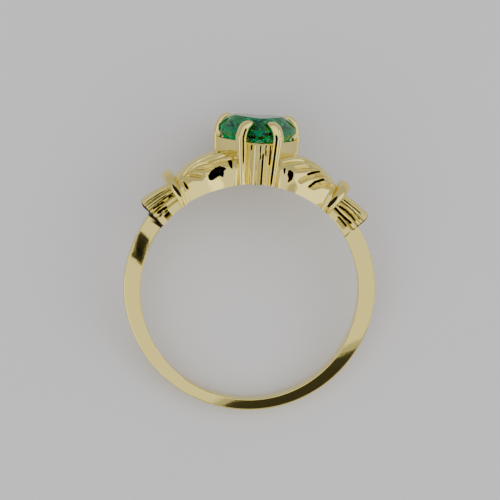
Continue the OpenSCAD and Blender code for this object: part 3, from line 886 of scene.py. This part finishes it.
# The rows of a prong from the rim up: how far its middle is past the room round the stone, in its
# thicknesses, its height over the rim as a share of the way to the table, and the shares of its
# thickness and width that it keeps. Its foot has only the last two.
PRONG_FOOT = (0.75, 0.72)
OUTER_CLAW = ((0.25, 0.0, 1.0, 1.0), (-0.15, 0.10, 1.8, 1.0), (-0.18, 0.24, 1.8, 1.0),
              (-0.12, 0.42, 1.4, 0.98), (-0.32, 0.586, 1.35, 0.96), (-0.72, 0.765, 1.25, 0.92),
              (-1.2, 0.87, 1.1, 0.86), (-1.75, 0.93, 0.95, 0.8), (-2.4, 0.925, 0.85, 0.72),
              (-2.65, 0.915, 0.5, 0.5))
INNER_CLAW = ((0.5, 0.0, 1.0, 0.84), (0.49, 0.25, 1.0, 0.84), (0.36, 0.47, 1.0, 0.84),
              (0.2, 0.60, 0.98, 0.84), (-0.02, 0.69, 0.86, 0.84), (-0.26, 0.725, 0.72, 0.8),
              (-0.46, 0.70, 0.58, 0.7), (-0.58, 0.66, 0.34, 0.5))
INNER_TURN = 26       # turn of the inner prongs from the head's cross line


def smooth_row(rows, place):
    """A row between the given rows, on a curve that passes through them all"""
    i = min(int(place), len(rows) - 2)
    t = place - i
    a, b, c, d = (Vector(rows[min(max(j, 0), len(rows) - 1)]) for j in range(i - 1, i + 3))
    return (b * 2 + (c - a) * t + (a * 2 - b * 5 + c * 4 - d) * t ** 2
            + (b * 3 - a - c * 3 + d) * t ** 3) / 2


def make_prong(name, at, normal, thick, claw, groove):
    """A prong that climbs the setting and bends over the stone"""
    wide, rim_y = mm("prong_w"), FINGER_R + mm("rim_h")
    table = mm("girdle_h") + mm("stone_crown_h") - mm("rim_h")
    sides, per_row = (112 if groove else 56), 9
    foot_y = math.sqrt((FINGER_R + PRONG_LIFT) ** 2 - at[0] ** 2)
    rows = [(mm("stone_gap") + claw[0][0] * thick - mm("setting_taper"), foot_y, PRONG_FOOT[0],
             PRONG_FOOT[1] * claw[0][3])]
    rows += [(mm("stone_gap") + out * thick, rim_y + rise * table, deep, broad)
             for out, rise, deep, broad in claw]
    count = per_row * (len(rows) - 1)
    across = Vector((normal[1], 0, -normal[0]))
    rings, spine = [], []
    for i in range(count + 1):
        out, y, deep, broad = smooth_row(rows, i / per_row)
        before = smooth_row(rows, max(i / per_row - 0.15, 0))
        after = smooth_row(rows, min(i / per_row + 0.15, len(rows) - 1))
        lean = math.atan2(before[0] - after[0], after[1] - before[1])
        outward = Vector((normal[0] * math.cos(lean), math.sin(lean), normal[1] * math.cos(lean)))
        middle = Vector((at[0] + normal[0] * out, y, at[1] + normal[1] * out))
        ring = []
        for j in range(sides):
            a = 2 * math.pi * j / sides
            c, s = math.cos(a), math.sin(a)
            ring.append(middle + outward * (thick * deep / 2 * math.copysign(abs(c) ** 0.7, c))
                        + across * (wide * broad / 2 * math.copysign(abs(s) ** 0.7, s)))
        rings.append(ring)
        front = across * math.copysign(1, across.z)
        spine.append((middle + front * wide * broad / 2, outward, front))
    piece = drawn_out(name, rings)
    if groove:
        first, last, aside, half_w, deep = groove
        line = [place + outward * aside
                for place, outward, _ in spine[int(first * count):int(last * count) + 1]]
        carve(piece, one_way(tuple(-spine[0][2])), [(line, half_w, deep)])
    return piece


# The stone's rings of points, as shares of its girdle: their sizes, and how far down the pavilion
# and up the crown they lie
LOW_SIZE, LOW_DROP = 0.82, 0.38
STAR_SIZE, STAR_RISE = 0.83, 0.62
TABLE_SIZE = 0.65


def make_stone_room():
    """The room round the stone, which notches the prongs for its girdle"""
    heart = Heart()
    gap, half_girdle = mm("stone_gap"), mm("stone_girdle_t") / 2
    girdle_y = FINGER_R + mm("girdle_h")
    table_y = girdle_y + mm("stone_crown_h")
    rows = ((LOW_SIZE, girdle_y - mm("stone_pavilion_h") * LOW_DROP),
            (1, girdle_y - half_girdle - gap / 2), (1, girdle_y + half_girdle + gap / 2),
            (STAR_SIZE, girdle_y + mm("stone_crown_h") * STAR_RISE + gap),
            (TABLE_SIZE, table_y + gap), (TABLE_SIZE, table_y + 0.4))
    return drawn_out("stone_room", [ring_at(heart.ring(40, size, gap), y) for size, y in rows])


# Grooves down the inner prongs: where each starts and ends, how far aside it is, its half width
# and its depth
PRONG_GROOVES = {-1: (0.08, 0.42, 0.0, 0.07, 0.26), 1: (0.02, 0.28, 0.0, 0.07, 0.30)}


def make_prongs():
    """Two prongs beside the heart's tip and two at its widest place"""
    heart = Heart()
    x = mm("inner_prong_x")
    turn = math.radians(INNER_TURN)
    room = make_stone_room()
    pieces = []
    for side, word in SIDES.items():
        normal = (side * math.cos(turn), math.sin(turn))
        pieces.append(make_prong(f"inner_prong_{word}", (side * x, heart.wall_z(x)), normal,
                                 mm("inner_prong_t"), INNER_CLAW, PRONG_GROOVES[side]))
        pieces.append(make_prong(f"outer_prong_{word}", (side * mm("stone_w") / 2, heart.lobe_z),
                                 (side, 0.0), mm("prong_t"), OUTER_CLAW, None))
    for piece in pieces:
        apply_modifier(piece, "BOOLEAN", object=room, operation="DIFFERENCE", solver="MANIFOLD")
    bpy.data.objects.remove(room)
    return pieces


# Halves of the outlines of the crown's band and of its points: share of its half width, share of
# its length past the lobes
CROWN_BAND = ((0.56, -0.55), (0.70, 0.12), (0.74, 0.40))
CROWN_POINTS = ((0.60, 0.10), (0.68, 0.40), (0.93, 0.72), (0.74, 0.80), (0.50, 0.54), (0.38, 0.52),
                (0.13, 0.88))
POINT_SHARE = 0.52    # thickness of the points, as a share of the band's
PLATE_ROUND = 0.07    # rounding of the plates' edges


def make_crown_plate(name, outline, thick, middle_y):
    """A plate of the crown, extruded from its outline and bevelled"""
    right = [(x * mm("crown_w") / 2, -mm("stone_l") / 2 - z * mm("crown_l")) for x, z in outline]
    line = right + [(-x, z) for x, z in reversed(right)]
    clear_choice()
    bpy.ops.mesh.primitive_circle_add(vertices=len(line), radius=1, fill_type="NGON")
    piece = fresh(name)
    bpy.ops.object.mode_set(mode="EDIT")
    mesh = bmesh.from_edit_mesh(piece.data)
    for vert, (x, z) in zip(mesh.verts, line):
        vert.co = (x, middle_y - thick / 2, z)
    bmesh.update_edit_mesh(piece.data)
    bpy.ops.mesh.select_all(action="SELECT")
    bpy.ops.mesh.extrude_region_move(TRANSFORM_OT_translate={"value": (0, thick, 0)})
    face_outwards()
    apply_modifier(piece, "BEVEL", width=PLATE_ROUND, segments=4, limit_method="ANGLE",
                   angle_limit=math.radians(25))
    return piece


def make_crown():
    """The crown past the heart's lobes: a band, three points and their beads"""
    middle_y = FINGER_R + mm("crown_h") - mm("crown_t") / 2
    bead_z = -mm("stone_l") / 2 - mm("crown_l") + mm("bead_r")
    bead_x = mm("crown_w") / 2 - mm("bead_r")
    pieces = [
        make_crown_plate("crown_band", CROWN_BAND, mm("crown_t"), middle_y),
        make_crown_plate("crown_points", CROWN_POINTS, mm("crown_t") * POINT_SHARE, middle_y),
    ]
    beads = (("left", -bead_x, 0), ("middle", 0, mm("bead_r") / 4), ("right", bead_x, 0))
    for word, x, up in beads:
        clear_choice()
        bpy.ops.mesh.primitive_uv_sphere_add(segments=40, ring_count=24, radius=mm("bead_r"))
        bead = fresh(f"crown_bead_{word}")
        bpy.ops.object.mode_set(mode="EDIT")
        bpy.ops.mesh.select_all(action="SELECT")
        bpy.ops.transform.translate(value=(x, middle_y, bead_z + up))
        bpy.ops.object.mode_set(mode="OBJECT")
        pieces.append(bead)
    return pieces


# Operators
class RING_OT_band(Operator):
    """Model the band"""
    bl_idname = "ring.band"
    bl_label = "Band"

    def execute(self, context):
        finish(make_band(), polished_gold("band_gold"), CRISP_DEG)
        return {"FINISHED"}


class RING_OT_sleeves(Operator):
    """Model the two fluted sleeves"""
    bl_idname = "ring.sleeves"
    bl_label = "Sleeves"

    def execute(self, context):
        gold = polished_gold("sleeve_gold", 0.5)
        for side in SIDES:
            finish(make_sleeve(side), gold)
        return {"FINISHED"}


class RING_OT_collars(Operator):
    """Model the collars between the sleeves and the hands"""
    bl_idname = "ring.collars"
    bl_label = "Collars"

    def execute(self, context):
        gold = polished_gold("collar_gold", 0.2)
        for side in SIDES:
            for collar in make_collars(side):
                finish(collar, gold)
        return {"FINISHED"}


class RING_OT_hands(Operator):
    """Model the two hands"""
    bl_idname = "ring.hands"
    bl_label = "Hands"

    def execute(self, context):
        gold = polished_gold("hand_gold", 0.6)
        cutter = make_back_cutter()
        for side in SIDES:
            finish(make_hand(side, cutter), gold, CARVED_DEG)
        bpy.data.objects.remove(cutter)
        return {"FINISHED"}


class RING_OT_setting(Operator):
    """Model the heart's setting"""
    bl_idname = "ring.setting"
    bl_label = "Setting"

    def execute(self, context):
        finish(make_setting(), polished_gold("setting_gold", 0.4), CARVED_DEG)
        return {"FINISHED"}


class RING_OT_prongs(Operator):
    """Model the four prongs"""
    bl_idname = "ring.prongs"
    bl_label = "Prongs"

    def execute(self, context):
        gold = polished_gold("prong_gold", 0.2)
        for prong in make_prongs():
            finish(prong, gold)
        return {"FINISHED"}


class RING_OT_crown(Operator):
    """Model the crown and its beads"""
    bl_idname = "ring.crown"
    bl_label = "Crown"

    def execute(self, context):
        gold = polished_gold("crown_gold", 0.2)
        for piece in make_crown():
            finish(piece, gold, ROUND_DEG if "bead" in piece.name else CRISP_DEG)
        return {"FINISHED"}


class RING_OT_stone(Operator):
    """Give the heart stone its clear green"""
    bl_idname = "ring.stone"
    bl_label = "Stone"

    def execute(self, context):
        stone = frame["nodes"]["heart_stone"]
        stone.data.materials.clear()
        stone.data.materials.append(green_stone())
        return {"FINISHED"}


# Camera, in the upright ring's millimetres
CAMERA_AT = (-21.0, 37.5, 297.0)
CAMERA_AIM = (-0.10, 3.18, 0.0)
CAMERA_ROLL = 3.3
VIEW_W = 39.7
SENSOR_W = 36.0

# Lights: name, middle in the upright ring's millimetres, way of the long edge or nothing for a light
# that looks at the ring's middle, size in metres, watts and shade
LIGHTS = (
    ("ceiling", (-63, 109, 400), (0.898, 0.440, 0), (0.5, 0.4), 0.34, (1.0, 0.99, 0.97)),
    ("key", (-260, -150, 380), None, (0.42, 0.42), 0.42, (1, 1, 1)),
    ("side", (360, 40, 300), None, (0.42, 0.36), 0.50, (1, 1, 1)),
)
# Dark cards for the band to mirror: name, middle, ways of the two edges, size and grey
FLAGS = (
    ("band_flag", (43.1, -78.4, 392), ((0.898, 0.440, 0), (-0.440, 0.898, 0)), (0.12, 0.030), 0.07),
    ("shank_flag", (7.2, -42.4, 391), ((0.21, 0.978, 0), (-0.783, 0.621, 0)), (0.0052, 0.0026), 0.0),
)
FLOOR_W = 1.6
STUDIO_SHADE = (0.93, 0.92, 1.0, 1)
STUDIO_STRENGTH = 0.62


def add_camera():
    """The camera, at the photograph's angle to the ring"""
    place = LYING @ Vector(CAMERA_AT)
    aim = LYING @ Vector(CAMERA_AIM)
    back = (place - aim).normalized()
    head = (LYING.to_3x3() @ Vector((0, 1, 0))).normalized()
    right = head.cross(back).normalized()
    up = back.cross(right)
    turn = Matrix.Rotation(math.radians(CAMERA_ROLL), 3, back)
    axes = Matrix((turn @ right, turn @ up, back)).transposed()
    bpy.ops.object.camera_add()
    camera = bpy.context.active_object
    camera.name = "camera"
    camera.matrix_world = Matrix.Translation(place) @ axes.to_4x4()
    camera.data.sensor_width = SENSOR_W
    camera.data.lens = SENSOR_W * (place - aim).length * TO_MM / VIEW_W
    camera.data.clip_start = 0.01
    camera.data.clip_end = 10
    bpy.context.scene.camera = camera


def add_light(name, middle, edge, size, power, shade):
    """A flat light that faces the ring"""
    lie = LYING.to_3x3().normalized()
    if edge:
        along = Vector(edge).normalized()
        axes = Matrix((along, Vector((0, 0, 1)).cross(along), Vector((0, 0, 1)))).transposed()
    else:
        axes = Vector(middle).to_track_quat("Z", "Y").to_matrix()
    bpy.ops.object.light_add(type="AREA")
    light = bpy.context.active_object
    light.name = name
    light.matrix_world = Matrix.Translation(LYING @ Vector(middle)) @ (lie @ axes).to_4x4()
    light.data.shape = "RECTANGLE"
    light.data.size, light.data.size_y = size
    light.data.energy = power
    light.data.color = shade


def add_flag(name, middle, edges, size, shade):
    """A dark card over the ring"""
    long_way, short_way = (Vector(edge).normalized() for edge in edges)
    bpy.ops.mesh.primitive_plane_add(size=1)
    card = fresh(name)
    axes = Matrix((long_way * size[0], short_way * size[1], (0, 0, 1))).transposed()
    card.data.transform((LYING.to_3x3().normalized() @ axes).to_4x4())
    card.matrix_world = Matrix.Translation(LYING @ Vector(middle))
    nodes = Nodes(name)
    card.data.materials.append(nodes.shade(Base_Color=(shade, shade, shade, 1), Roughness=1.0,
                                           Specular_IOR_Level=0.0))
    return card


class RING_OT_stage(Operator):
    """Set the floor, the lights and the camera"""
    bl_idname = "ring.stage"
    bl_label = "Stage"

    def execute(self, context):
        clear_choice()
        bpy.ops.mesh.primitive_plane_add(size=FLOOR_W)
        floor = fresh("floor")
        nodes = Nodes("floor")
        grain = nodes.noise(nodes.place(), 0.05, 2.0)
        paler = tuple(c * 1.06 for c in colour("floor")[:3]) + (1.0,)
        nodes.shade(Base_Color=nodes.blend(grain, colour("floor"), paler), Roughness=0.7)
        floor.data.materials.append(nodes.material)
        for light in LIGHTS:
            add_light(*light)
        for flag in FLAGS:
            add_flag(*flag)
        world = context.scene.world or bpy.data.worlds.new("studio")
        context.scene.world = world
        world.use_nodes = True
        background = world.node_tree.nodes["Background"]
        background.inputs["Color"].default_value = STUDIO_SHADE
        background.inputs["Strength"].default_value = STUDIO_STRENGTH
        add_camera()
        return {"FINISHED"}


OPERATORS = (RING_OT_stage, RING_OT_band, RING_OT_sleeves, RING_OT_collars, RING_OT_hands,
             RING_OT_setting, RING_OT_prongs, RING_OT_crown, RING_OT_stone)


class RING_PT_pieces(Panel):
    """Lists the ring's pieces, sizes and colours"""
    bl_idname = "RING_PT_pieces"
    bl_label = "Claddagh Ring"
    bl_space_type = "VIEW_3D"
    bl_region_type = "UI"
    bl_category = "Ring"

    def draw(self, context):
        for operator in OPERATORS:
            self.layout.operator(operator.bl_idname)
        for group in (context.scene.ring_sizes, context.scene.ring_colours):
            box = self.layout.box()
            for name in group.bl_rna.properties.keys():
                if name not in ("rna_type", "name"):
                    box.prop(group, name)


CLASSES = (RingSizes, RingColours, *OPERATORS, RING_PT_pieces)


def register():
    for item in CLASSES:
        bpy.utils.register_class(item)
    bpy.types.Scene.ring_sizes = PointerProperty(type=RingSizes)
    bpy.types.Scene.ring_colours = PointerProperty(type=RingColours)


def unregister():
    del bpy.types.Scene.ring_colours
    del bpy.types.Scene.ring_sizes
    for item in reversed(CLASSES):
        bpy.utils.unregister_class(item)


def main():
    register()
    for operator in OPERATORS:
        group, name = operator.bl_idname.split(".")
        getattr(getattr(bpy.ops, group), name)()


if __name__ == "__main__":
    main()
